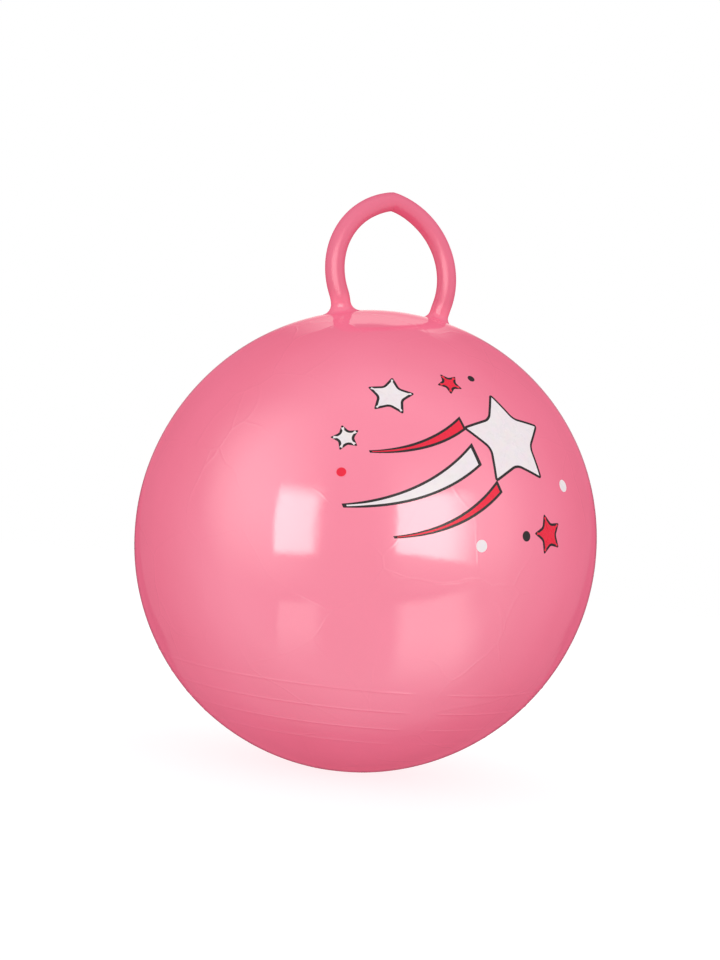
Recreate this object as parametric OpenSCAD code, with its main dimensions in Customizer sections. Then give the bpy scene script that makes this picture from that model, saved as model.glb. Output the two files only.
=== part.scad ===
// Hopper ball: an inflated vinyl ball with a hollow loop handle, a welded valve seat and a push-in plug.
// Millimetres, +Z up. The origin is the centre of the patch that the ball stands on.
// -Y is the front, where the rider looks. The loop handle spans X.

/* [Ball] */
// Outside diameter of the inflated ball
ball_d = 450; // [350:5:650]
// Thickness of the moulded vinyl skin
skin_t = 1.2; // [0.8:0.1:2.5]
// How far the skin flattens where the ball stands
foot_sink = 3.5; // [1:0.5:8]

/* [Grip ribs] */
// Rows of moulded ribs round the lower half of the ball
rib_rows = 4; // [1:1:5]
// Angle of the top row below the equator
rib_top_angle = 33; // [20:1:38]
// Angle between two rows
rib_step_angle = 6.2; // [4:0.2:9]
// Width of a rib where it meets the skin
rib_w = 2.4; // [1.6:0.2:4]
// Height of a rib above the skin
rib_h = 0.7; // [0.4:0.1:0.8]
// Angle of plain skin between the left and the right set of ribs
rib_gap_angle = 9; // [4:1:40]

/* [Handle] */
// Outside diameter of the handle's hollow tube
tube_d = 19; // [14:0.5:24]
// Wall of the handle's tube
tube_wall = 2; // [1.2:0.1:4]
// Distance between the handle's two roots, centre to centre on the ball
root_spacing = 101; // [80:1:130]
// Radius of the fillet that runs from the ball up to the tube
root_fillet = 10; // [4:0.5:14]
// Bend radius of the necks between the roots and the loop
neck_bend_r = 40; // [30:1:60]
// Angle at which the loop's legs spread where they leave the necks
leg_splay = 20; // [16:1:28]
// How far the centre of each side's arc lies past the middle of the loop
side_offset = 14; // [4:0.5:20]
// Angle at which the soft loop leans back
loop_lean = 13; // [4:1:25]

/* [Valve] */
// Angle of the valve from the top of the ball, towards the back
valve_angle = 32; // [28:1:60]
// Outside diameter of the valve seat's barrel
seat_d = 22; // [21:0.5:28]
// Depth of the barrel below the skin
seat_depth = 16; // [12:1:24]
// Height of the seat's rim above the skin
rim_h = 1.5; // [1:0.1:3]
// Chamfer round the rim
rim_chamfer = 0.6; // [0.2:0.1:0.9]
// Diameter of the flange that is welded to the skin's inside
flange_d = 38; // [32:1:50]
// Thickness of that flange at its edge
flange_t = 1.8; // [1:0.2:4]
// Radius of the scallop in the rim, where a fingernail lifts the plug
scallop_r = 1.5; // [0.8:0.1:2]

/* [Plug] */
// Diameter of the plug's head
head_d = 17; // [15:0.5:18]
// Thickness of the head's edge
head_t = 2.2; // [1.5:0.1:4]
// Height of the head's dome above its edge
head_dome = 0.9; // [0.5:0.1:2]
// Diameter of the tapered stem under the head
stem_d = 9.6; // [9:0.2:12]
// Diameter of the stem at its tip
stem_tip_d = 8.2; // [6:0.2:9]
// Length of the stem
stem_len = 20; // [18:1:30]
// Chamfer round the stem's tip
tip_chamfer = 1.2; // [0.4:0.2:2]

/* [Fits] */
// Gap all round the plug in its seat
plug_gap = 0.1; // [0.05:0.05:0.3]
// Gap between the seat and the skin that it is welded to
weld_gap = 0.1; // [0.05:0.05:0.3]

/* [Hidden] */
$fn = 96;

// How far a cut runs past the faces that it goes through
overrun = 1;
// How far the root's fillet sinks below a tangent run-out, so that it ends in a clean edge
fillet_sink = 0.25;

vinyl_pink = "#F4809B";
seat_pink = "#E4708C";
plug_white = "#F2F0EC";

// Ball, with its centre as the origin of the values below
ball_r = ball_d / 2;
ball_z = ball_r - foot_sink;
inner_r = ball_r - skin_t;

// A rib is part of a round bead, sunk so that it is rib_w wide at the skin
bead_r = (rib_w * rib_w / 4 + rib_h * rib_h) / (2 * rib_h);
bead_path_r = ball_r + rib_h - bead_r;
rib_sweep = 180 - rib_gap_angle;

// Handle tube and roots
tube_r = tube_d / 2;
bore_r = tube_r - tube_wall;
root_tilt = asin(root_spacing / ball_d);
fillet_path_r = tube_r + root_fillet;
root_top = sqrt(pow(ball_r + root_fillet - fillet_sink, 2) - pow(fillet_path_r, 2));
root_base = sqrt(pow(inner_r, 2) - pow(fillet_path_r, 2)) - skin_t;

// A neck turns from the root's own axis to the direction of the loop's leg
leg_dir = [sin(leg_splay), cos(leg_splay) * sin(loop_lean), cos(leg_splay) * cos(loop_lean)];
root_axis = [sin(root_tilt), 0, cos(root_tilt)];
root_side = [cos(root_tilt), 0, -sin(root_tilt)];
neck_angle = acos(leg_dir * root_axis);
neck_turn = atan2(leg_dir[1], leg_dir * root_side);
neck_rise = neck_bend_r * sin(neck_angle);
neck_shift = neck_bend_r * (1 - cos(neck_angle));
neck_end = root_axis * (root_top + neck_rise)
    + (root_side * cos(neck_turn) + [0, sin(neck_turn), 0]) * neck_shift;

// The loop is a pointed arch: two side arcs that meet in a crease, in a plane that leans back by loop_lean
side_r = (neck_end[0] + side_offset) / cos(leg_splay);
side_v = side_r * sin(leg_splay);
crease_angle = acos(side_offset / side_r);
crease_v = side_v + side_r * sin(crease_angle);
crease_past = asin(tube_d / side_r);

// Valve seat and plug, measured along the valve's axis from the ball's centre
seat_r = seat_d / 2;
head_r = head_d / 2;
rim_z = ball_r + rim_h;
seat_floor_z = rim_z - head_t;
seat_end_z = ball_r - seat_depth;
flange_r = flange_d / 2;
flange_z = sqrt(pow(inner_r - weld_gap, 2) - pow(flange_r, 2)) - flange_t;
stem_r = stem_d / 2;
stem_slope = (stem_r - stem_tip_d / 2) / stem_len;
head_z = seat_floor_z + plug_gap;
dome_r = (pow(head_r, 2) + pow(head_dome, 2)) / (2 * head_dome);

echo(overall_height = ball_z + neck_end[2] + crease_v * cos(loop_lean) + tube_r);
echo(hinge_y = neck_shift * sin(neck_turn) / 2, hinge_z = ball_z + (root_top * root_axis[2] + neck_end[2]) / 2);

// Places

module at_ball() {
    translate([0, 0, ball_z]) children();
}

module at_right_root() {
    at_ball() rotate([0, root_tilt, 0]) children();
}

module at_loop() {
    at_ball() translate([0, neck_end[1], neck_end[2]]) rotate([90 - loop_lean, 0, 0]) children();
}

module at_valve() {
    at_ball() rotate([-valve_angle, 0, 0]) children();
}

// Skin

// A sphere that is flat where it stands
module footed_sphere(r, floor_z) {
    difference() {
        sphere(r = r);
        translate([-ball_r, -ball_r, floor_z - ball_d]) cube(ball_d);
    }
}

// One set of ribs, on the right: row after row, down towards the foot
module rib_set() {
    for (row = [0 : rib_rows - 1]) {
        down = rib_top_angle + row * rib_step_angle;
        translate([0, 0, -bead_path_r * sin(down)])
            rotate([0, 0, (rib_gap_angle - 180) / 2])
                rotate_extrude(angle = rib_sweep)
                    translate([bead_path_r * cos(down), 0]) circle(r = bead_r);
    }
}

// The trumpet that the tube grows out of
module root() {
    difference() {
        translate([0, 0, root_base]) cylinder(r = fillet_path_r, h = root_top - root_base);
        translate([0, 0, root_top])
            rotate_extrude() translate([fillet_path_r, 0]) circle(r = root_fillet);
    }
}

module root_bore() {
    translate([0, 0, root_base - overrun])
        cylinder(r = bore_r, h = root_top - root_base + 2 * overrun);
}

module ball_skin() {
    color(vinyl_pink) difference() {
        union() {
            at_ball() {
                footed_sphere(ball_r, -ball_z);
                rib_set();
                mirror([1, 0, 0]) rib_set();
            }
            at_right_root() root();
            mirror([1, 0, 0]) at_right_root() root();
        }
        at_ball() footed_sphere(inner_r, skin_t - ball_z);
        at_right_root() root_bore();
        mirror([1, 0, 0]) at_right_root() root_bore();
        at_valve() translate([0, 0, flange_z]) cylinder(r = seat_r + weld_gap, h = ball_r);
    }
}

// Handle

// A stretch of hollow tube, bent from the angle start to the angle end
module arc_tube(path_r, start, end) {
    rotate([0, 0, start]) rotate_extrude(angle = end - start) translate([path_r, 0]) difference() {
        circle(r = tube_r);
        circle(r = bore_r);
    }
}

module right_neck() {
    color(vinyl_pink) at_right_root()
        translate([0, 0, root_top]) rotate([0, 0, neck_turn])
            translate([neck_bend_r, 0, 0]) rotate([90, 0, 0])
                arc_tube(neck_bend_r, 180 - neck_angle, 180);
}

module handle_neck_right() {
    right_neck();
}

module handle_neck_left() {
    mirror([1, 0, 0]) right_neck();
}

// One side of the loop, cut off square at the crease
module loop_side() {
    difference() {
        translate([-side_offset, side_v, 0]) arc_tube(side_r, -leg_splay, crease_angle + crease_past);
        translate([-ball_d, 0, -ball_r]) cube(ball_d);
    }
}

module handle_loop() {
    color(vinyl_pink) at_loop() {
        loop_side();
        mirror([1, 0, 0]) loop_side();
    }
}

// Valve

module seat_body() {
    translate([0, 0, seat_end_z]) cylinder(r = seat_r, h = rim_z - rim_chamfer - seat_end_z);
    translate([0, 0, rim_z - rim_chamfer])
        cylinder(r1 = seat_r, r2 = seat_r - rim_chamfer, h = rim_chamfer);
    intersection() {
        sphere(r = inner_r - weld_gap);
        translate([0, 0, flange_z]) cylinder(r = flange_r, h = ball_r - flange_z);
    }
}

// The hole tapers as the plug's stem does
module seat_bore() {
    depth = seat_floor_z - seat_end_z + overrun;
    mouth_r = stem_r + plug_gap;
    translate([0, 0, seat_floor_z - depth])
        cylinder(r1 = mouth_r - stem_slope * depth, r2 = mouth_r, h = depth);
}

module valve_seat() {
    color(seat_pink) at_valve() difference() {
        seat_body();
        seat_bore();
        translate([0, 0, seat_floor_z]) cylinder(r = head_r + plug_gap, h = head_t + overrun);
        translate([0, -head_r, rim_z]) rotate([90, 0, 0]) cylinder(r = scallop_r, h = seat_r);
    }
}

module plug_head() {
    intersection() {
        cylinder(r = head_r, h = head_t + head_dome + overrun);
        translate([0, 0, head_t + head_dome - dome_r]) sphere(r = dome_r);
    }
}

// The stem reaches up into the head, and tapers to a chamfered tip
module plug_stem() {
    tip_r = stem_tip_d / 2;
    chamfer_r = tip_r + stem_slope * tip_chamfer;
    rotate_extrude() polygon([
        [0, -stem_len], [tip_r - tip_chamfer, -stem_len], [chamfer_r, tip_chamfer - stem_len],
        [stem_r, 0], [stem_r, head_t], [0, head_t]
    ]);
}

module valve_plug() {
    color(plug_white) at_valve() translate([0, 0, head_z]) {
        plug_head();
        plug_stem();
    }
}

ball_skin();
handle_loop();
handle_neck_left();
handle_neck_right();
valve_seat();
valve_plug();
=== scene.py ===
import math
import bmesh
import bpy
from mathutils import Matrix, Vector, noise


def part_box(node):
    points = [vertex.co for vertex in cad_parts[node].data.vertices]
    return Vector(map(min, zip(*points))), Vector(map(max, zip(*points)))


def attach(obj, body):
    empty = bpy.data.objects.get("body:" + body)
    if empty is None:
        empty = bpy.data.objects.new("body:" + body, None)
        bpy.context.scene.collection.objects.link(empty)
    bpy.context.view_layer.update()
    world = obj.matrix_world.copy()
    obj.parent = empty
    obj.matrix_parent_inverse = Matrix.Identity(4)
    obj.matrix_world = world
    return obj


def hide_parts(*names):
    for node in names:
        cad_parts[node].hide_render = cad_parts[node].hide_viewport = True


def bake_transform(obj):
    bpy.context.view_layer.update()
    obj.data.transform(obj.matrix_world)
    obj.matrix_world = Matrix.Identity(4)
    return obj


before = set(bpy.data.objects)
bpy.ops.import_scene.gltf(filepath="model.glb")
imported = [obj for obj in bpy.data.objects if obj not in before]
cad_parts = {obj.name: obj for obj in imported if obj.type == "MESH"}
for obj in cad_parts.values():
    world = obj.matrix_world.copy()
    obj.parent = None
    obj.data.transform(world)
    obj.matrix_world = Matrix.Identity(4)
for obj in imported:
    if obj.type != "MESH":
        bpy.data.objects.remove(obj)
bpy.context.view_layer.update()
mm = 0.001
softAngle = math.radians(40)  # edges that turn more than this stay crisp


# Working helpers

def clearSelection():
    if bpy.context.mode != "OBJECT":
        bpy.ops.object.mode_set(mode="OBJECT")
    bpy.ops.object.select_all(action="DESELECT")


def editPiece(piece):
    clearSelection()
    piece.select_set(True)
    bpy.context.view_layer.objects.active = piece
    bpy.ops.object.mode_set(mode="EDIT")
    bpy.ops.mesh.select_mode(type="VERT")


def pick(piece, kind, test):
    # kind is VERT, EDGE or FACE; test gets the element and where its middle lies
    bpy.ops.mesh.select_mode(type=kind)
    bpy.ops.mesh.select_all(action="DESELECT")
    mesh = bmesh.from_edit_mesh(piece.data)
    elements = {"VERT": mesh.verts, "EDGE": mesh.edges, "FACE": mesh.faces}[kind]
    for element in elements:
        if kind == "VERT":
            middle = element.co
        elif kind == "EDGE":
            middle = (element.verts[0].co + element.verts[1].co) / 2
        else:
            middle = element.calc_center_median()
        if test(element, middle):
            element.select_set(True)
    mesh.select_flush_mode()
    bmesh.update_edit_mesh(piece.data)


def movePoints(piece, place):
    # place gives each point's new position
    if bpy.context.mode != "OBJECT":
        bpy.ops.object.mode_set(mode="OBJECT")
    for vertex in piece.data.vertices:
        vertex.co = place(vertex.co)
    piece.data.update()


def smoothStep(low, high, value):
    share = min(max((value - low) / (high - low), 0), 1)
    return share * share * (3 - 2 * share)


def linear(colour):
    # sRGB hex to the linear values that Blender takes
    channels = [int(colour[i:i + 2], 16) / 255 for i in (1, 3, 5)]
    return [c / 12.92 if c <= 0.04045 else ((c + 0.055) / 1.055) ** 2.4 for c in channels] + [1]


def addNode(tree, kind, settings={}, links={}):
    node = tree.nodes.new(kind)
    for name, value in settings.items():
        if isinstance(name, str) and hasattr(node, name):
            setattr(node, name, value)
        else:
            node.inputs[name].default_value = value
    for name, source in links.items():
        tree.links.new(source, node.inputs[name])
    return node


def startMaterial(name):
    material = bpy.data.materials.new(name)
    material.use_nodes = True
    material.node_tree.nodes.clear()
    return material, material.node_tree


# Moulded vinyl: soft PVC, cast against a polished mould and then inflated, so it is glossy, with slow
# ripples, a fine orange peel and a few faint creases from having lain folded. The handle is duller

vinyl = {
    "cloud": 130 * mm,     # size of the faint patches of colour
    "cloudSpread": (0.3, 0.7),
    "scuff": 16 * mm,      # size of the duller patches
    "scuffSpread": (0.3, 0.75),
    "ripple": 34 * mm,
    "rippleHeight": 0.22 * mm,
    "peel": 3 * mm,        # finer on the real skin, drawn as coarse as the render can show
    "peelHeight": 0.004 * mm,
    "crease": 75 * mm,     # size of the patches that the creases run round
    "creaseBend": 30 * mm,
    "creaseWidth": 1.6 * mm,
    "creaseHeight": 0.1 * mm,
    "creaseShown": (0.42, 0.6),
    # its fine roughness dulls the mirror where the skin turns away: from how far to how far,
    # and the gloss at each
    "rimTurn": (0.3, 0.85),
    "rimGloss": (0.5, 0.003),
}
skinFinish = {"colours": ("#F57493", "#F16F8D"), "gloss": (0.06, 0.11), "ior": 1.75, "creased": True}
handleFinish = {
    "colours": ("#E66685", "#E16280"), "gloss": (0.20, 0.27), "ior": 1.5, "creased": False,
    "fade": (448 * mm, 463 * mm),  # heights between which it takes over from the skin's finish
}
seatFinish = {"colours": ("#DC4F6B", "#D24864"), "gloss": (0.16, 0.25), "ior": 1.5, "creased": False}


def makeVinyl(name, finish, below=None):
    # below is the finish that this one grows out of, low down
    material, tree = startMaterial(name)
    where = addNode(tree, "ShaderNodeTexCoord").outputs["Object"]
    cloud = addNode(tree, "ShaderNodeTexNoise", {
        "Scale": 1 / vinyl["cloud"], "Detail": 2,
    }, {"Vector": where})
    ramp = addNode(tree, "ShaderNodeValToRGB", {}, {"Fac": cloud.outputs["Fac"]})
    for stop, position, colour in zip(ramp.color_ramp.elements, vinyl["cloudSpread"], finish["colours"]):
        stop.position = position
        stop.color = linear(colour)
    paint = ramp.outputs["Color"]
    scuff = addNode(tree, "ShaderNodeTexNoise", {
        "Scale": 1 / vinyl["scuff"], "Detail": 5,
    }, {"Vector": where})
    gloss = addNode(tree, "ShaderNodeMapRange", {
        "From Min": vinyl["scuffSpread"][0], "From Max": vinyl["scuffSpread"][1],
        "To Min": finish["gloss"][0], "To Max": finish["gloss"][1],
    }, {"Value": scuff.outputs["Fac"]}).outputs["Result"]
    if below:
        height = addNode(tree, "ShaderNodeSeparateXYZ", {}, {"Vector": where})
        share = addNode(tree, "ShaderNodeMapRange", {
            "From Min": finish["fade"][0], "From Max": finish["fade"][1],
            "interpolation_type": "SMOOTHSTEP",
        }, {"Value": height.outputs["Z"]}).outputs["Result"]
        # a Mix node takes its two colours at 6 and 7, and gives the mixed one at 2
        paint = addNode(tree, "ShaderNodeMix", {"data_type": "RGBA", 6: linear(below["colours"][0])}, {
            0: share, 7: paint,
        }).outputs[2]
        gloss = addNode(tree, "ShaderNodeMix", {"A": sum(below["gloss"]) / 2}, {
            "Factor": share, "B": gloss,
        }).outputs[0]
    ripple = addNode(tree, "ShaderNodeTexNoise", {
        "Scale": 1 / vinyl["ripple"], "Detail": 3,
    }, {"Vector": where})
    rippleBump = addNode(tree, "ShaderNodeBump", {"Distance": vinyl["rippleHeight"]}, {
        "Height": ripple.outputs["Fac"],
    })
    relief = rippleBump.outputs["Normal"]
    if finish["creased"]:
        # creases run along the borders of large bent patches, and only some of them show
        bend = addNode(tree, "ShaderNodeTexNoise", {"Scale": 1 / vinyl["crease"]}, {"Vector": where})
        bent = addNode(tree, "ShaderNodeVectorMath", {
            "operation": "MULTIPLY_ADD", 1: [vinyl["creaseBend"]] * 3,
        }, {0: bend.outputs["Color"], 2: where})
        border = addNode(tree, "ShaderNodeTexVoronoi", {
            "feature": "DISTANCE_TO_EDGE", "Scale": 1 / vinyl["crease"],
        }, {"Vector": bent.outputs["Vector"]})
        line = addNode(tree, "ShaderNodeMapRange", {
            "From Max": vinyl["creaseWidth"] / vinyl["crease"], "To Min": 1, "To Max": 0,
            "interpolation_type": "SMOOTHSTEP",
        }, {"Value": border.outputs["Distance"]})
        shown = addNode(tree, "ShaderNodeMapRange", {
            "From Min": vinyl["creaseShown"][0], "From Max": vinyl["creaseShown"][1],
        }, {"Value": cloud.outputs["Fac"]})
        crease = addNode(tree, "ShaderNodeMath", {"operation": "MULTIPLY"}, {
            0: line.outputs["Result"], 1: shown.outputs["Result"],
        })
        relief = addNode(tree, "ShaderNodeBump", {"Distance": vinyl["creaseHeight"]}, {
            "Height": crease.outputs["Value"], "Normal": relief,
        }).outputs["Normal"]
    peel = addNode(tree, "ShaderNodeTexNoise", {
        "Scale": 1 / vinyl["peel"], "Detail": 1,
    }, {"Vector": where})
    peelBump = addNode(tree, "ShaderNodeBump", {"Distance": vinyl["peelHeight"]}, {
        "Height": peel.outputs["Fac"], "Normal": relief,
    })
    facing = addNode(tree, "ShaderNodeLayerWeight").outputs["Facing"]
    mirror = addNode(tree, "ShaderNodeMapRange", {
        "From Min": vinyl["rimTurn"][0], "From Max": vinyl["rimTurn"][1],
        "To Min": vinyl["rimGloss"][0], "To Max": vinyl["rimGloss"][1],
        "interpolation_type": "SMOOTHSTEP",
    }, {"Value": facing}).outputs["Result"]
    shader = addNode(tree, "ShaderNodeBsdfPrincipled", {"IOR": finish["ior"]}, {
        "Base Color": paint, "Roughness": gloss, "Specular IOR Level": mirror,
        "Normal": peelBump.outputs["Normal"],
    })
    addNode(tree, "ShaderNodeOutputMaterial", {}, {"Surface": shader.outputs["BSDF"]})
    return material


# Screen-printed ink: a thin film that takes the skin's gloss, a little matter, with a faint mottle

ink = {
    "white": "#F3E9EC", "red": "#F0203F", "black": "#20181B",
    "mottle": 9 * mm, "mottleShare": 0.12, "gloss": (0.22, 0.34), "ior": 1.5, "mirror": 0.2,
}


def makeInk(name, colour):
    material, tree = startMaterial(name)
    where = addNode(tree, "ShaderNodeTexCoord").outputs["Object"]
    mottle = addNode(tree, "ShaderNodeTexNoise", {
        "Scale": 1 / ink["mottle"], "Detail": 4,
    }, {"Vector": where})
    paint = addNode(tree, "ShaderNodeMix", {
        "data_type": "RGBA", "blend_type": "MULTIPLY", 0: ink["mottleShare"], 6: linear(colour),
    }, {7: mottle.outputs["Color"]})
    gloss = addNode(tree, "ShaderNodeMapRange", {"To Min": ink["gloss"][0], "To Max": ink["gloss"][1]}, {
        "Value": mottle.outputs["Fac"],
    })
    shader = addNode(tree, "ShaderNodeBsdfPrincipled", {
        "IOR": ink["ior"], "Specular IOR Level": ink["mirror"],
    }, {"Base Color": paint.outputs[2], "Roughness": gloss.outputs["Result"]})
    addNode(tree, "ShaderNodeOutputMaterial", {}, {"Surface": shader.outputs["BSDF"]})
    return material


# Moulded polyethylene: waxy, satin and a little translucent

polyethylene = {
    "colour": "#EFEDE8", "grain": 1.6 * mm, "grainHeight": 0.012 * mm, "gloss": (0.32, 0.45),
    "ior": 1.51, "milky": 0.2, "milkyDepth": 1.5 * mm,
}


def makePolyethylene(name):
    material, tree = startMaterial(name)
    where = addNode(tree, "ShaderNodeTexCoord").outputs["Object"]
    grain = addNode(tree, "ShaderNodeTexNoise", {
        "Scale": 1 / polyethylene["grain"], "Detail": 3,
    }, {"Vector": where})
    gloss = addNode(tree, "ShaderNodeMapRange", {
        "To Min": polyethylene["gloss"][0], "To Max": polyethylene["gloss"][1],
    }, {"Value": grain.outputs["Fac"]})
    bump = addNode(tree, "ShaderNodeBump", {"Distance": polyethylene["grainHeight"]}, {
        "Height": grain.outputs["Fac"],
    })
    shader = addNode(tree, "ShaderNodeBsdfPrincipled", {
        "Base Color": linear(polyethylene["colour"]), "IOR": polyethylene["ior"],
        "Subsurface Weight": polyethylene["milky"], "Subsurface Scale": polyethylene["milkyDepth"],
    }, {"Roughness": gloss.outputs["Result"], "Normal": bump.outputs["Normal"]})
    addNode(tree, "ShaderNodeOutputMaterial", {}, {"Surface": shader.outputs["BSDF"]})
    return material


skinVinyl = makeVinyl("mouldedVinylSkin", skinFinish)
handleVinyl = makeVinyl("mouldedVinylHandle", handleFinish, skinFinish)
seatVinyl = makeVinyl("mouldedVinylSeat", seatFinish)
plugPolyethylene = makePolyethylene("mouldedPolyethyleneWhite")
inks = [makeInk("screenInk" + name.capitalize(), ink[name]) for name in ("white", "red", "black")]
print("materials made")


# Ball skin

ballLow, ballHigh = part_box("ball_skin")
ballSkin = {
    "radius": (ballHigh.x - ballLow.x) / 2,
    "footSink": 3.5 * mm,     # how far the skin flattens where the ball stands
    "footRound": 5 * mm,      # width of the soft edge round the flat patch
    "footSteps": 4,
    "segments": 288,
    "rings": 144,
    "ribAngles": (33, 39.2, 45.4, 51.6),  # degrees below the equator
    "ribReach": 1.7 * mm,     # from the middle of a rib to plain skin
    "ribShares": (-1, -0.67, -0.33, 0, 0.33, 0.67, 1),  # where edge rings lie across it
    "ribHeights": (0.26 * mm, 0.24 * mm, 0.21 * mm, 0.16 * mm),
    "ribGap": 4.5,            # degrees of plain skin on each side of the front and the back
    "ribFade": 2.5,           # degrees over which a rib's end fades out
    "swell": 70 * mm,         # size of the skin's slow unevenness
    "swellHeight": 0.14 * mm,
    "outOfRound": 1.7 * mm,   # the soft ball is a little longer along one axis and shorter along another
    "longAxis": (71, 51),     # degrees to the right of the front, and up
    "shortAxis": (-116, 39),
    "valveAngle": 32,         # degrees from the top towards the back
    "valveHole": 10.6 * mm,
    "valveCuts": 2,           # how often the faces round the hole are cut
    "valvePocket": 24 * mm,
    "ringSlack": 0.05 * mm,   # how near a ring may pass to a point without a new one
    "floorSlack": 0.01 * mm,  # how near to the floor counts as on it
}
ballRadius = ballSkin["radius"]
ballCentre = Vector((0, 0, ballRadius - ballSkin["footSink"]))
valveTurn = Matrix.Rotation(math.radians(-ballSkin["valveAngle"]), 3, "X")
valveAxis = valveTurn @ Vector((0, 0, 1))


def aim(azimuth, elevation):
    # a unit vector, from degrees to the right of the front and degrees up
    azimuth = math.radians(azimuth)
    elevation = math.radians(elevation)
    level = math.cos(elevation)
    return Vector((math.sin(azimuth) * level, -math.cos(azimuth) * level, math.sin(elevation)))


def skinSwell(direction):
    swell = noise.noise(direction * ballRadius / ballSkin["swell"]) * ballSkin["swellHeight"]
    long = direction.dot(aim(*ballSkin["longAxis"]))
    short = direction.dot(aim(*ballSkin["shortAxis"]))
    return swell + ballSkin["outOfRound"] * (long ** 2 - short ** 2)


def ribLift(direction):
    # how far a rib stands out of the skin there
    down = math.asin(min(max(-direction.z, -1), 1))
    fromGap = math.degrees(math.atan2(abs(direction.x), abs(direction.y))) - ballSkin["ribGap"]
    lift = 0
    for angle, height in zip(ballSkin["ribAngles"], ballSkin["ribHeights"]):
        away = abs(down - math.radians(angle)) * ballRadius / ballSkin["ribReach"]
        if away < 1:
            lift = height * math.cos(away * math.pi / 2) ** 2
    return lift * smoothStep(0, ballSkin["ribFade"], fromGap)


def skinPoint(place, lift=0):
    # the point on the skin that lies straight out from the ball's centre
    direction = (place - ballCentre).normalized()
    return ballCentre + direction * (ballRadius + skinSwell(direction) + lift)


def ribbedPoint(place):
    return skinPoint(place, ribLift((place - ballCentre).normalized()))


def fromValve(place):
    arm = place - ballCentre
    along = arm.dot(valveAxis)
    return (arm - valveAxis * along).length if along > 0 else math.inf


def makeBallSkin():
    clearSelection()
    bpy.ops.mesh.primitive_uv_sphere_add(
        segments=ballSkin["segments"], ring_count=ballSkin["rings"],
        radius=ballRadius, location=ballCentre)
    skin = bpy.context.object
    skin.name = "ballSkin"
    bpy.ops.object.transform_apply(location=True, rotation=True, scale=True)
    editPiece(skin)
    # edge rings that carry the ribs
    for angle in ballSkin["ribAngles"]:
        for share in ballSkin["ribShares"]:
            down = math.radians(angle) + share * ballSkin["ribReach"] / ballRadius
            bpy.ops.mesh.select_all(action="SELECT")
            bpy.ops.mesh.bisect(
                plane_co=ballCentre - Vector((0, 0, ballRadius * math.sin(down))), plane_no=(0, 0, 1),
                threshold=ballSkin["ringSlack"])
    # finer faces round the valve
    pick(skin, "FACE", lambda face, middle: fromValve(middle) < 2 * ballSkin["valveHole"])
    bpy.ops.mesh.subdivide(number_cuts=ballSkin["valveCuts"])
    movePoints(skin, ribbedPoint)
    editPiece(skin)
    # the flat patch that it stands on
    slack = ballSkin["floorSlack"]
    bpy.ops.mesh.select_all(action="SELECT")
    bpy.ops.mesh.bisect(plane_co=(0, 0, 0), plane_no=(0, 0, 1), use_fill=True, clear_inner=True)
    pick(skin, "EDGE", lambda edge, middle: abs(middle.z) < slack and len(edge.link_faces) == 2)
    bpy.ops.mesh.bevel(
        offset=ballSkin["footRound"], segments=ballSkin["footSteps"], affect="EDGES")
    pick(skin, "FACE", lambda face, middle: len(face.verts) > 8 and abs(middle.z) < slack)
    bpy.ops.mesh.inset(thickness=ballSkin["footRound"])
    bpy.ops.mesh.poke()
    # the hole for the valve seat, with a blind pocket behind it
    hole = ballSkin["valveHole"]
    rise = valveAxis * math.sqrt(ballRadius ** 2 - hole ** 2)
    pick(skin, "FACE", lambda face, middle: fromValve(middle) < hole)
    bpy.ops.mesh.delete(type="FACE")
    pick(skin, "EDGE", lambda edge, middle: edge.is_boundary)
    mesh = bmesh.from_edit_mesh(skin.data)
    for vertex in mesh.verts:
        if vertex.select:
            arm = vertex.co - ballCentre
            across = (arm - valveAxis * arm.dot(valveAxis)).normalized() * hole
            vertex.co = skinPoint(ballCentre + across + rise)
    bmesh.update_edit_mesh(skin.data)
    bpy.ops.mesh.extrude_region_move(TRANSFORM_OT_translate={
        "value": -valveAxis * ballSkin["valvePocket"],
    })
    bpy.ops.mesh.edge_face_add()
    bpy.ops.mesh.select_all(action="SELECT")
    bpy.ops.mesh.normals_make_consistent(inside=False)
    bpy.ops.object.mode_set(mode="OBJECT")
    bpy.ops.object.shade_smooth_by_angle(angle=softAngle)
    skin.data.materials.append(skinVinyl)
    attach(skin, "ball")
    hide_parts("ball_skin")
    return skin


skin = makeBallSkin()
print("ball skin made")


# Loop handle: one soft tube that grows out of the ball on two trumpet roots

loopHandle = {
    "tube": 19 * mm,
    "rootSpacing": 101 * mm,
    "rootFillet": 10 * mm,
    "rootSink": 0.25 * mm,    # how far the neck starts below a tangent fillet
    "footSink": 0.03 * mm,    # how far the trumpet's edge sinks into the skin
    "footApron": 2.5 * mm,    # buried edge beyond that
    "apronSink": 0.2 * mm,
    "neckBend": 40 * mm,
    "legSplay": 20,
    "sideOffset": 14 * mm,
    "lean": 13,
    "swellReach": 12 * mm,    # how far up the roots follow the skin's unevenness
    "foldAngle": 17,          # degrees; the fold at the peak turns more and stays a crisp line
    "foldDent": 0.6 * mm,     # how far that fold dents the tube's inner side
    "foldReach": 24 * mm,
    "foldAside": 5 * mm,      # the dent lies a little to the right of the fold
    "filletSteps": 18,
    "neckSteps": 6,
    "sideSteps": 64,
    "roundness": 22,          # the curve's bevel resolution
    "weld": 0.001 * mm,
    "bendStart": 443.5 * mm,  # heights between which the real handle bends at its hinge
    "bendEnd": 465 * mm,
}


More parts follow.
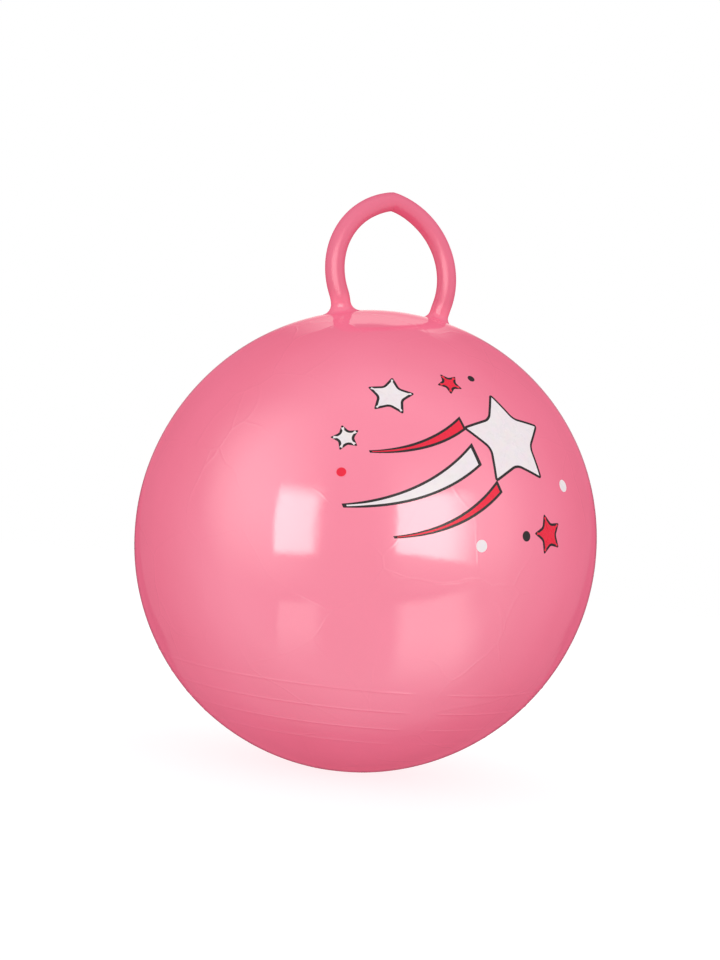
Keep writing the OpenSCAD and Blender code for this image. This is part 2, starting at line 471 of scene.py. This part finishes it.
def rightSidePath():
    # points from the foot of the right root up to the fold, measured from the ball's centre, with radii
    tubeRadius = loopHandle["tube"] / 2
    fillet = loopHandle["rootFillet"]
    splay = math.radians(loopHandle["legSplay"])
    lean = math.radians(loopHandle["lean"])
    tilt = math.asin(loopHandle["rootSpacing"] / 2 / ballRadius)
    rootAxis = Vector((math.sin(tilt), 0, math.cos(tilt)))
    upLoop = Vector((0, math.sin(lean), math.cos(lean)))
    legWay = Vector((math.sin(splay), 0, 0)) + upLoop * math.cos(splay)
    filletPath = tubeRadius + fillet
    rootTop = math.sqrt((ballRadius + fillet - loopHandle["rootSink"]) ** 2 - filletPath ** 2)
    flareTop = math.sqrt((ballRadius + fillet - loopHandle["footSink"]) ** 2 - filletPath ** 2)
    footAngle = math.asin(flareTop / (ballRadius + fillet - loopHandle["footSink"]))
    apron = filletPath + loopHandle["footApron"]
    path = [(rootAxis * math.sqrt((ballRadius - loopHandle["apronSink"]) ** 2 - apron ** 2), apron)]
    for step in range(loopHandle["filletSteps"]):
        angle = footAngle * (1 - step / loopHandle["filletSteps"])
        height = flareTop - fillet * math.sin(angle)
        if height < rootTop:
            path.append((rootAxis * height, filletPath - fillet * math.cos(angle)))
    bendWay = (legWay - rootAxis * legWay.dot(rootAxis)).normalized()
    neckAngle = rootAxis.angle(legWay)
    for step in range(loopHandle["neckSteps"] + 1):
        angle = neckAngle * step / loopHandle["neckSteps"]
        rise = rootTop + loopHandle["neckBend"] * math.sin(angle)
        shift = loopHandle["neckBend"] * (1 - math.cos(angle))
        path.append((rootAxis * rise + bendWay * shift, tubeRadius))
    neckEnd = path[-1][0]
    sideRadius = (neckEnd.x + loopHandle["sideOffset"]) / math.cos(splay)
    peakAngle = math.acos(loopHandle["sideOffset"] / sideRadius)
    middle = Vector((0, neckEnd.y, neckEnd.z)) + upLoop * sideRadius * math.sin(splay)
    for step in range(1, loopHandle["sideSteps"] + 1):
        angle = -splay + (peakAngle + splay) * step / loopHandle["sideSteps"]
        across = Vector((sideRadius * math.cos(angle) - loopHandle["sideOffset"], 0, 0))
        path.append((middle + across + upLoop * sideRadius * math.sin(angle), tubeRadius))
    return path


def makeLoopHandle():
    right = rightSidePath()
    left = [(Vector((-point.x, point.y, point.z)), radius) for point, radius in right[-2::-1]]
    clearSelection()
    bpy.ops.curve.primitive_bezier_curve_add(location=(0, 0, 0))
    handle = bpy.context.object
    handle.name = "loopHandle"
    line = handle.data
    line.splines.clear()
    spline = line.splines.new("POLY")
    spline.points.add(len(right + left) - 1)
    # drawn in millimetres, because a curve merges points that lie too close
    for spot, (point, radius) in zip(spline.points, right + left):
        spot.co = (*(point + ballCentre) / mm, 1)
        spot.radius = radius / loopHandle["tube"] * 2
    line.dimensions = "3D"
    line.twist_mode = "MINIMUM"
    line.bevel_depth = loopHandle["tube"] / 2 / mm
    line.bevel_resolution = loopHandle["roundness"]
    line.use_fill_caps = True
    bpy.ops.object.convert(target="MESH")
    handle.scale = (mm, mm, mm)
    bpy.ops.object.transform_apply(location=True, rotation=True, scale=True)
    editPiece(handle)
    bpy.ops.mesh.select_all(action="SELECT")
    bpy.ops.mesh.remove_doubles(threshold=loopHandle["weld"])
    bpy.ops.mesh.normals_make_consistent(inside=False)
    bpy.ops.object.mode_set(mode="OBJECT")

    lean = math.radians(loopHandle["lean"])
    upLoop = Vector((0, math.sin(lean), math.cos(lean)))
    peak = right[-1][0] + ballCentre

    def settle(place):
        # the roots follow the skin, and the fold at the peak dents the tube's inner side
        arm = place - ballCentre
        direction = arm.normalized()
        inner = (peak - place).dot(upLoop) * 2 / loopHandle["tube"]
        aside = abs(place.x - loopHandle["foldAside"])
        dent = smoothStep(0, 1, inner) * (1 - smoothStep(0, loopHandle["foldReach"], aside))
        above = arm.length - ballRadius
        swell = skinSwell(direction) * (1 - smoothStep(0, loopHandle["swellReach"], above))
        return place + direction * swell + upLoop * loopHandle["foldDent"] * dent

    movePoints(handle, settle)
    bpy.ops.object.shade_smooth_by_angle(angle=math.radians(loopHandle["foldAngle"]))
    handle.data.materials.clear()
    handle.data.materials.append(handleVinyl)
    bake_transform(handle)
    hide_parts("handle_loop", "handle_neck_left", "handle_neck_right")
    return handle


loop = makeLoopHandle()
print("loop handle made")


# Valve seat and plug, modelled upright on the valve's axis, then turned into place

valveSeat = {
    "radius": 11 * mm,
    "depth": 16 * mm,
    "rim": 1.5 * mm,
    "flangeRadius": 19 * mm,
    "flangeTop": 222.8 * mm,  # from the ball's centre
    "flange": 1.8 * mm,
    "flangeSlope": 0.5 * mm,
    "recess": 8.6 * mm,
    "recessDepth": 2.2 * mm,
    "mouth": 4.9 * mm,
    "throat": 4.36 * mm,
    "scallop": 1.5 * mm,
    "scallopSides": 32,
    "edge": 0.35 * mm,
    "steps": 72,
}
valveFinish = {"weld": 0.005 * mm, "edgeAngle": 35, "edgeSteps": 3}
valvePlug = {
    "head": 8.5 * mm,
    "headEdge": 2.2 * mm,
    "dome": 0.9 * mm,
    "domeSteps": 7,
    "stem": 4.8 * mm,
    "tip": 4.1 * mm,
    "stemLength": 20 * mm,
    "tipChamfer": 1.2 * mm,
    "gap": 0.1 * mm,
    "edge": 0.3 * mm,
    "steps": 72,
}


def spinProfile(name, profile, steps):
    # a profile of (radius, height) points, drawn from one point and spun about Z
    clearSelection()
    bpy.ops.mesh.primitive_plane_add(size=2 * mm, location=(0, 0, 0))
    piece = bpy.context.object
    piece.name = name
    editPiece(piece)
    bpy.ops.mesh.select_all(action="SELECT")
    bpy.ops.mesh.merge(type="CENTER")
    bpy.ops.transform.translate(value=(profile[0][0], 0, profile[0][1]))
    for here, there in zip(profile, profile[1:]):
        bpy.ops.mesh.extrude_region_move(TRANSFORM_OT_translate={
            "value": (there[0] - here[0], 0, there[1] - here[1]),
        })
    bpy.ops.mesh.select_all(action="SELECT")
    bpy.ops.mesh.spin(steps=steps, angle=2 * math.pi, center=(0, 0, 0), axis=(0, 0, 1))
    bpy.ops.mesh.select_all(action="SELECT")
    bpy.ops.mesh.remove_doubles(threshold=valveFinish["weld"])
    bpy.ops.mesh.normals_make_consistent(inside=False)
    bpy.ops.object.mode_set(mode="OBJECT")
    return piece


def roundEdges(piece, width):
    bevel = piece.modifiers.new("softEdges", "BEVEL")
    bevel.width = width
    bevel.segments = valveFinish["edgeSteps"]
    bevel.limit_method = "ANGLE"
    bevel.angle_limit = math.radians(valveFinish["edgeAngle"])
    bpy.ops.object.modifier_apply(modifier=bevel.name)
    bpy.ops.object.shade_smooth_by_angle(angle=softAngle)


def seatOnValve(piece):
    piece.matrix_world = Matrix.Translation(ballCentre) @ valveTurn.to_4x4()
    bpy.ops.object.transform_apply(location=True, rotation=True, scale=True)


def makeValveSeat():
    seat = valveSeat
    rimTop = ballRadius + seat["rim"]
    floor = rimTop - seat["recessDepth"]
    end = ballRadius - seat["depth"]
    flangeLow = seat["flangeTop"] - seat["flange"]
    piece = spinProfile("valveSeat", [
        (seat["throat"], end), (seat["radius"], end),
        (seat["radius"], flangeLow), (seat["flangeRadius"], flangeLow),
        (seat["flangeRadius"], seat["flangeTop"]),
        (seat["radius"], seat["flangeTop"] + seat["flangeSlope"]),
        (seat["radius"], rimTop), (seat["recess"], rimTop),
        (seat["recess"], floor), (seat["mouth"], floor),
        (seat["throat"], end),
    ], seat["steps"])
    roundEdges(piece, seat["edge"])
    # a scallop in the rim, where a fingernail lifts the plug
    clearSelection()
    bpy.ops.mesh.primitive_cylinder_add(
        vertices=seat["scallopSides"], radius=seat["scallop"], depth=seat["radius"],
        location=(0, -seat["recess"] - seat["radius"] / 2, rimTop), rotation=(math.pi / 2, 0, 0))
    cutter = bpy.context.object
    clearSelection()
    piece.select_set(True)
    bpy.context.view_layer.objects.active = piece
    cut = piece.modifiers.new("scallop", "BOOLEAN")
    cut.operation = "DIFFERENCE"
    cut.object = cutter
    bpy.ops.object.modifier_apply(modifier=cut.name)
    bpy.data.objects.remove(cutter)
    bpy.ops.object.shade_smooth_by_angle(angle=softAngle)
    seatOnValve(piece)
    piece.data.materials.append(seatVinyl)
    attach(piece, "ball")
    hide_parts("valve_seat")


def makeValvePlug():
    plug = valvePlug
    under = ballRadius + valveSeat["rim"] - valveSeat["recessDepth"] + plug["gap"]
    domeRadius = (plug["head"] ** 2 + plug["dome"] ** 2) / 2 / plug["dome"]
    end = under - plug["stemLength"]
    profile = [
        (0, end), (plug["tip"] - plug["tipChamfer"], end),
        (plug["tip"], end + plug["tipChamfer"]), (plug["stem"], under),
        (plug["head"], under),
    ]
    for step in range(plug["domeSteps"] + 1):
        out = plug["head"] * (1 - step / plug["domeSteps"])
        fall = domeRadius - math.sqrt(domeRadius ** 2 - out ** 2)
        profile.append((out, under + plug["headEdge"] + plug["dome"] - fall))
    piece = spinProfile("valvePlug", profile, plug["steps"])
    roundEdges(piece, plug["edge"])
    seatOnValve(piece)
    piece.data.materials.append(plugPolyethylene)
    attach(piece, "plug")
    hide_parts("valve_plug")


makeValveSeat()
makeValvePlug()
print("valve made")


# Print: a shooting star with small stars and dots, drawn flat in millimetres and laid on the ball

starPrint = {
    "azimuth": 1.2,     # degrees to the right of the front
    "latitude": 22.5,   # degrees above the equator
    "lift": 0.12 * mm,
    "film": 0.2 * mm,   # thickness; the underside lies in the skin
    "outline": 2.4,
    "starShape": {"points": 5, "inner": 0.54, "corner": 0.1, "cornerSteps": 4, "faceSize": 9},
    "tailColumns": 40,
    "tailFill": 0.3,    # the least share of a tail's width that is fill
    "dotCorners": 36,
    "stars": [
        {"at": (46, 34), "radius": 50, "turn": 12, "ink": "white"},
        {"at": (-66, 72), "radius": 23, "turn": -14, "ink": "white"},
        {"at": (92, -50), "radius": 20, "turn": 24, "ink": "red"},
        {"at": (-112, 30), "radius": 14, "turn": 9, "ink": "white"},
        {"at": (-6, 88), "radius": 13, "turn": 30, "ink": "red"},
    ],
    "tails": [
        {"from": (8, 14), "to": (-118, -36), "bow": 15, "widths": (22, 4), "inks": ("black", "white")},
        {"from": (-2, 44), "to": (-92, 14), "bow": 10, "widths": (14, 2.4), "inks": ("black", "red")},
        {"from": (30, -14), "to": (-72, -66), "bow": 12, "widths": (12, 2.4), "inks": ("black", "red")},
    ],
    "dots": [
        {"at": (20, 98), "radius": 3.6, "ink": "black"},
        {"at": (116, 2), "radius": 6, "ink": "white"},
        {"at": (62, -56), "radius": 4.8, "ink": "black"},
        {"at": (-118, -4), "radius": 4.4, "ink": "red"},
        {"at": (12, -70), "radius": 5.6, "ink": "white"},
    ],
}
inkSlots = {"white": 0, "red": 1, "black": 2}


def inkSelected(piece, colour):
    piece.active_material_index = inkSlots[colour]
    bpy.ops.object.material_slot_assign()


def startFilm(piece):
    for material in inks:
        piece.data.materials.append(material)
    editPiece(piece)


def drawStar(star):
    shape = starPrint["starShape"]
    clearSelection()
    bpy.ops.mesh.primitive_circle_add(
        vertices=2 * shape["points"], radius=star["radius"], fill_type="NGON")
    film = bpy.context.object
    startFilm(film)
    pick(film, "VERT", lambda vertex, middle: vertex.index % 2)
    bpy.ops.transform.resize(value=(shape["inner"], shape["inner"], 1), center_override=(0, 0, 0))
    bpy.ops.mesh.select_all(action="SELECT")
    bpy.ops.mesh.bevel(
        offset=shape["corner"] * star["radius"], segments=shape["cornerSteps"], affect="VERTICES")
    bpy.ops.mesh.select_mode(type="FACE")
    bpy.ops.mesh.select_all(action="SELECT")
    inkSelected(film, "black")
    bpy.ops.mesh.inset(thickness=starPrint["outline"])
    inkSelected(film, star["ink"])
    bpy.ops.mesh.poke()
    bpy.ops.mesh.select_all(action="SELECT")
    bpy.ops.mesh.subdivide(number_cuts=max(1, round(star["radius"] / shape["faceSize"])))
    turn = Matrix.Rotation(math.radians(star["turn"]), 3, "Z")
    offset = Vector((*star["at"], 0))
    movePoints(film, lambda place: turn @ place + offset)
    return film


def drawTail(tail):
    start = Vector(tail["from"])
    end = Vector(tail["to"])
    along = end - start
    aside = Vector((-along.y, along.x)).normalized()
    columns = starPrint["tailColumns"]
    rows = 5  # an outline on each side of three rows of fill
    clearSelection()
    bpy.ops.mesh.primitive_grid_add(x_subdivisions=columns, y_subdivisions=rows, size=1)
    film = bpy.context.object
    startFilm(film)
    rim, fill = tail["inks"]
    bpy.ops.mesh.select_all(action="SELECT")
    inkSelected(film, rim)
    pick(film, "FACE", lambda face, middle: (
        abs(middle.y) < 0.5 - 1 / rows and abs(middle.x) < 0.5 - 1 / columns))
    inkSelected(film, fill)

    def bend(place):
        share = place.x + 0.5
        half = (tail["widths"][0] * (1 - share) + tail["widths"][1] * share) / 2
        inner = max(half - starPrint["outline"], starPrint["tailFill"] * half)
        # the grid's lines lie 1, 3 and 5 half rows from its middle
        lines = {5: half, 3: inner, 1: inner / 3}
        out = lines[round(abs(place.y) * 2 * rows)] * (1 if place.y > 0 else -1)
        spot = start + along * share + aside * (tail["bow"] * 4 * share * (1 - share) + out)
        return Vector((spot.x, spot.y, 0))

    movePoints(film, bend)
    return film


def drawDot(dot):
    clearSelection()
    bpy.ops.mesh.primitive_circle_add(
        vertices=starPrint["dotCorners"], radius=dot["radius"], fill_type="NGON")
    film = bpy.context.object
    startFilm(film)
    bpy.ops.mesh.select_mode(type="FACE")
    bpy.ops.mesh.select_all(action="SELECT")
    inkSelected(film, dot["ink"])
    bpy.ops.mesh.inset(thickness=dot["radius"] / 2)
    bpy.ops.mesh.poke()
    offset = Vector((*dot["at"], 0))
    movePoints(film, lambda place: place + offset)
    return film


def layOnSkin(place):
    # distances from the print's middle are kept along the skin
    out = aim(starPrint["azimuth"], starPrint["latitude"])
    east = aim(starPrint["azimuth"] + 90, 0)
    north = out.cross(east)
    angle = Vector((place.x, place.y)).length * mm / ballRadius
    way = (east * place.x + north * place.y).normalized()
    return skinPoint(ballCentre + out * math.cos(angle) + way * math.sin(angle), starPrint["lift"])


def makeStarPrint():
    films = [drawStar(star) for star in starPrint["stars"]]
    films += [drawTail(tail) for tail in starPrint["tails"]]
    films += [drawDot(dot) for dot in starPrint["dots"]]
    clearSelection()
    for film in films:
        film.select_set(True)
    bpy.context.view_layer.objects.active = films[0]
    bpy.ops.object.join()
    piece = bpy.context.object
    piece.name = "starPrint"
    bpy.ops.object.transform_apply(location=True, rotation=True, scale=True)
    editPiece(piece)
    bpy.ops.mesh.select_all(action="SELECT")
    bpy.ops.mesh.normals_make_consistent(inside=False)
    movePoints(piece, layOnSkin)
    wall = piece.modifiers.new("film", "SOLIDIFY")
    wall.thickness = starPrint["film"]
    wall.offset = -1
    bpy.ops.object.modifier_apply(modifier=wall.name)
    bpy.ops.object.shade_smooth_by_angle(angle=softAngle)
    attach(piece, "ball")
    return piece


stars = makeStarPrint()
print("print made")


# Camera, at the photograph's place

photo = {
    "size": (720, 960),
    "ballSpot": (365.5, 540.5),  # the ball's centre, in pixels
    "ballRadius": 231.2,         # in pixels
    "azimuth": -23.2,
    "elevation": 3.5,
    "roll": 6.1,
    "distance": 2.2,
    "sensor": 36,
}


def makeCamera():
    roll = math.radians(photo["roll"])
    back = aim(photo["azimuth"], photo["elevation"])
    level = aim(photo["azimuth"] + 90, 0)
    upright = back.cross(level)
    right = level * math.cos(roll) + upright * math.sin(roll)
    up = upright * math.cos(roll) - level * math.sin(roll)
    turn = Matrix((right, up, back)).transposed()
    focal = photo["ballRadius"] / math.tan(math.asin(ballRadius / photo["distance"]))  # in pixels
    aside = photo["ballSpot"][0] - photo["size"][0] / 2
    above = photo["size"][1] / 2 - photo["ballSpot"][1]
    gaze = Vector((aside, above, -focal)).normalized()
    swing = gaze.rotation_difference(Vector((0, 0, -1))).to_matrix()
    bpy.ops.object.camera_add()
    camera = bpy.context.object
    place = Matrix.Translation(ballCentre + back * photo["distance"])
    camera.matrix_world = place @ (turn @ swing).to_4x4()
    camera.data.sensor_width = photo["sensor"]
    camera.data.lens = focal * photo["sensor"] / max(photo["size"])
    bpy.context.scene.camera = camera
    return right, up, back


clearSelection()
viewRight, viewUp, viewBack = makeCamera()


# Studio: soft lights that only reflections show. Each is placed by the patch that it leaves on the ball:
# its corners in pixels, from the top left clockwise, and the softness of its left, right, lower and
# upper edge

softLights = {
    "leftSoftbox": {
        "patch": ((283, 480), (332, 488), (324, 557), (277, 554)),
        "edges": (0.08, 0.3, 0.12, 0.25),
        "radiance": 4.7,
    },
    "rightSoftbox": {
        "patch": ((391, 497), (475, 490), (476, 569), (391, 553)),
        "edges": (0.07, 0.5, 0.08, 0.15),
        "radiance": 4.9,
    },
    # the lit walls round the softboxes
    "leftHalo": {
        "patch": ((225, 410), (352, 414), (346, 592), (236, 590)),
        "edges": (0.5, 0.5, 0.5, 0.5),
        "radiance": 1.4,
    },
    "rightHalo": {
        "patch": ((368, 450), (510, 450), (506, 596), (372, 590)),
        "edges": (0.3, 0.5, 0.4, 0.5),
        "radiance": 1.0,
    },
    # the softboxes again, in the floor's sheen
    "leftSheen": {
        "patch": ((283, 594), (326, 596), (334, 660), (284, 660)),
        "edges": (0.08, 0.3, 0.7, 0.1),
        "radiance": 0.8,
    },
    "rightSheen": {
        "patch": ((390, 598), (476, 578), (472, 690), (380, 684)),
        "edges": (0.2, 0.4, 0.7, 0.1),
        "radiance": 1.25,
    },
}
lightDistance = 1.6
lightColour = "#FFFDF5"
lightCells = 6
# flat screens behind the ball and in front of its handle: their corners in degrees to the right of and
# above the line of sight through their middle, and how far they stand from it, towards the camera
backdrop = {
    "corners": ((-24, 48), (26, 49), (4, 1), (-4, 1)),
    "middle": ballCentre,
    "distance": -3,
    "edges": (0.35, 0.22, 0.05, 0.06),
    "radiance": 1.05,
}
handleScreen = {
    "corners": ((-50, 42), (42, 40), (14, -8), (-50, -8)),
    "middle": Vector((0, 0, 0.5)),
    "distance": 0.8,
    "edges": (0.35, 0.3, 0.25, 0.25),
    "radiance": 4.2,
}


def mirrored(spot):
    # where a light has to be, to be seen in the ball at that pixel
    across = (spot[0] - photo["ballSpot"][0]) / photo["ballRadius"]
    above = (photo["ballSpot"][1] - spot[1]) / photo["ballRadius"]
    normal = viewRight * across + viewUp * above + viewBack * math.sqrt(1 - across ** 2 - above ** 2)
    way = normal * 2 * normal.dot(viewBack) - viewBack
    return ballCentre + normal * ballRadius + way * lightDistance


def addSoftLight(name, corners, edges, radiance, pieces):
    clearSelection()
    bpy.ops.mesh.primitive_grid_add(x_subdivisions=lightCells, y_subdivisions=lightCells, size=1)
    light = bpy.context.object
    light.name = name
    topLeft, topRight, lowRight, lowLeft = corners

    def spread(place):
        low = lowLeft.lerp(lowRight, place.x + 0.5)
        return low.lerp(topLeft.lerp(topRight, place.x + 0.5), place.y + 0.5)

    movePoints(light, spread)
    material, tree = startMaterial(name)
    where = addNode(tree, "ShaderNodeTexCoord").outputs["UV"]
    sides = addNode(tree, "ShaderNodeSeparateXYZ", {}, {"Vector": where})
    strength = None
    for axis, end, edge in zip("XXYY", (0, 1, 0, 1), edges):
        fade = addNode(tree, "ShaderNodeMapRange", {
            "From Min": end, "From Max": abs(end - edge), "interpolation_type": "SMOOTHSTEP",
        }, {"Value": sides.outputs[axis]}).outputs["Result"]
        if strength:
            fade = addNode(tree, "ShaderNodeMath", {
                "operation": "MULTIPLY",
            }, {0: strength, 1: fade}).outputs["Value"]
        strength = fade
    strength = addNode(tree, "ShaderNodeMath", {
        "operation": "MULTIPLY", 1: radiance,
    }, {0: strength}).outputs["Value"]
    shine = addNode(tree, "ShaderNodeEmission", {"Color": linear(lightColour)}, {"Strength": strength})
    clear = addNode(tree, "ShaderNodeBsdfTransparent")
    both = addNode(tree, "ShaderNodeAddShader", {}, {
        0: shine.outputs["Emission"], 1: clear.outputs["BSDF"],
    })
    addNode(tree, "ShaderNodeOutputMaterial", {}, {"Surface": both.outputs["Shader"]})
    light.data.materials.append(material)
    light.visible_camera = False
    light.visible_diffuse = False  # the white tent of the world lights the rest
    light.visible_shadow = False
    lit = bpy.data.collections.new(name + "Lit")
    for piece in pieces:
        lit.objects.link(piece)
    light.light_linking.receiver_collection = lit


def makeStudio():
    for name, light in softLights.items():
        corners = [mirrored(spot) for spot in light["patch"]]
        addSoftLight(name, corners, light["edges"], light["radiance"], [skin, stars])
    screens = [("backdrop", backdrop, [skin]), ("handleScreen", handleScreen, [loop])]
    for name, screen, pieces in screens:
        distance = screen["distance"]
        corners = []
        for aside, above in screen["corners"]:
            way = viewRight * math.tan(math.radians(aside)) + viewUp * math.tan(math.radians(above))
            corners.append(screen["middle"] + way * abs(distance) + viewBack * distance)
        addSoftLight(name, corners, screen["edges"], screen["radiance"], pieces)


makeStudio()

floorDisc = {
    "radius": 4,
    "sides": 96,
    "full": 0.8,           # it is all there up to here, and gone at faded
    "faded": 2.6,
    "colour": "#8C8B8A",
    "grain": 6 * mm,
    "roughness": (0.6, 0.75),
    "mirror": 0.1,
    # part of its white is its own light, as on a lit floor panel, so shadows stay pale:
    # how much of it the ball gets, and how much is seen
    "glow": (0.63, 0.8),
}


def makeFloor():
    clearSelection()
    bpy.ops.mesh.primitive_circle_add(
        vertices=floorDisc["sides"], radius=floorDisc["radius"], fill_type="TRIFAN")
    floor = bpy.context.object
    floor.name = "floor"
    material, tree = startMaterial("paintedFloorPale")
    where = addNode(tree, "ShaderNodeTexCoord").outputs["Object"]
    reach = addNode(tree, "ShaderNodeVectorMath", {"operation": "LENGTH"}, {0: where})
    fade = addNode(tree, "ShaderNodeMapRange", {
        "From Min": floorDisc["full"], "From Max": floorDisc["faded"],
        "interpolation_type": "SMOOTHSTEP",
    }, {"Value": reach.outputs["Value"]})
    grain = addNode(tree, "ShaderNodeTexNoise", {"Scale": 1 / floorDisc["grain"]}, {"Vector": where})
    roughness = addNode(tree, "ShaderNodeMapRange", {
        "To Min": floorDisc["roughness"][0], "To Max": floorDisc["roughness"][1],
    }, {"Value": grain.outputs["Fac"]})
    ray = addNode(tree, "ShaderNodeLightPath")
    glow = addNode(tree, "ShaderNodeMapRange", {
        "To Min": floorDisc["glow"][0], "To Max": floorDisc["glow"][1],
    }, {"Value": ray.outputs["Is Camera Ray"]})
    paint = addNode(tree, "ShaderNodeBsdfPrincipled", {
        "Base Color": linear(floorDisc["colour"]), "Specular IOR Level": floorDisc["mirror"],
        "Emission Color": linear("#FFFFFF"),
    }, {"Roughness": roughness.outputs["Result"], "Emission Strength": glow.outputs["Result"]})
    clear = addNode(tree, "ShaderNodeBsdfTransparent")
    blend = addNode(tree, "ShaderNodeMixShader", {}, {
        "Fac": fade.outputs["Result"], 1: paint.outputs["BSDF"], 2: clear.outputs["BSDF"],
    })
    addNode(tree, "ShaderNodeOutputMaterial", {}, {"Surface": blend.outputs["Shader"]})
    floor.data.materials.append(material)
    floor.visible_glossy = False


makeFloor()

# A white tent round the object. Its mirror image is bright on the camera's side and dims towards the
# back, with dark flags low behind on the left and on the right, and a dim floor below
studioWorld = {
    "tent": (1.04, 1.02),  # on the camera's side, and behind
    "seen": 1,             # as a backdrop
    # degrees from the camera, and level
    "mirror": [(174, 0.3), (157, 0.2), (140, 0.24), (120, 0.42), (96, 0.88), (72, 1.62)],
    # what dims that: its middle, in degrees above straight behind, the degrees from there between which
    # the light changes, and the share of light at each. The brightest of the flags' shades counts
    "flags": [
        {"spot": -20, "reach": (36.5, 35.5), "levels": (1, 0.12)},
        {"spot": 90, "reach": (108, 105), "levels": (1, 0)},
        {"spot": 90, "reach": (89, 83), "levels": (0, 1)},
    ],
    "floor": [{"spot": -46, "reach": (12, 38), "levels": (0.4, 1)}],
}


def makeWorld():
    world = bpy.data.worlds.new("studioWorld")
    world.use_nodes = True
    tree = world.node_tree
    tree.nodes.clear()
    way = addNode(tree, "ShaderNodeTexCoord").outputs["Generated"]
    towards = addNode(tree, "ShaderNodeVectorMath", {
        "operation": "DOT_PRODUCT", 1: viewBack,
    }, {0: way}).outputs["Value"]
    share = addNode(tree, "ShaderNodeMapRange", {"From Min": -1}, {"Value": towards})
    ramp = addNode(tree, "ShaderNodeValToRGB", {}, {"Fac": share.outputs["Result"]})
    peak = max(level for angle, level in studioWorld["mirror"])
    stops = ramp.color_ramp.elements
    while len(stops) < len(studioWorld["mirror"]):
        stops.new(0.5)
    for stop, (angle, level) in zip(stops, studioWorld["mirror"]):
        stop.position = (math.cos(math.radians(angle)) + 1) / 2
        stop.color = [level / peak] * 3 + [1]
    mirror = addNode(tree, "ShaderNodeMath", {
        "operation": "MULTIPLY", 1: peak,
    }, {0: ramp.outputs["Color"]}).outputs["Value"]
    for shades in (studioWorld["flags"], studioWorld["floor"]):
        dim = None
        for shade in shades:
            spot = math.radians(shade["spot"])
            near = addNode(tree, "ShaderNodeVectorMath", {
                "operation": "DOT_PRODUCT", 1: viewUp * math.sin(spot) - viewBack * math.cos(spot),
            }, {0: way})
            limits = [math.cos(math.radians(angle)) for angle in shade["reach"]]
            level = addNode(tree, "ShaderNodeMapRange", {
                "From Min": limits[0], "From Max": limits[1],
                "To Min": shade["levels"][0], "To Max": shade["levels"][1],
                "interpolation_type": "SMOOTHSTEP",
            }, {"Value": near.outputs["Value"]}).outputs["Result"]
            if dim:
                level = addNode(tree, "ShaderNodeMath", {
                    "operation": "MAXIMUM",
                }, {0: dim, 1: level}).outputs["Value"]
            dim = level
        mirror = addNode(tree, "ShaderNodeMath", {
            "operation": "MULTIPLY",
        }, {0: mirror, 1: dim}).outputs["Value"]
    tent = addNode(tree, "ShaderNodeMapRange", {
        "From Min": -1, "To Min": studioWorld["tent"][1], "To Max": studioWorld["tent"][0],
    }, {"Value": towards}).outputs["Result"]
    ray = addNode(tree, "ShaderNodeLightPath")
    lit = addNode(tree, "ShaderNodeMix", {}, {
        "Factor": ray.outputs["Is Glossy Ray"], "A": tent, "B": mirror,
    })
    seen = addNode(tree, "ShaderNodeMix", {"B": studioWorld["seen"]}, {
        "Factor": ray.outputs["Is Camera Ray"], "A": lit.outputs["Result"],
    })
    light = addNode(tree, "ShaderNodeBackground", {"Color": linear("#FFFFFF")}, {
        "Strength": seen.outputs["Result"],
    })
    addNode(tree, "ShaderNodeOutputWorld", {}, {"Surface": light.outputs["Background"]})
    bpy.context.scene.world = world


makeWorld()
bpy.context.scene.view_settings.view_transform = "Standard"
print("studio made")
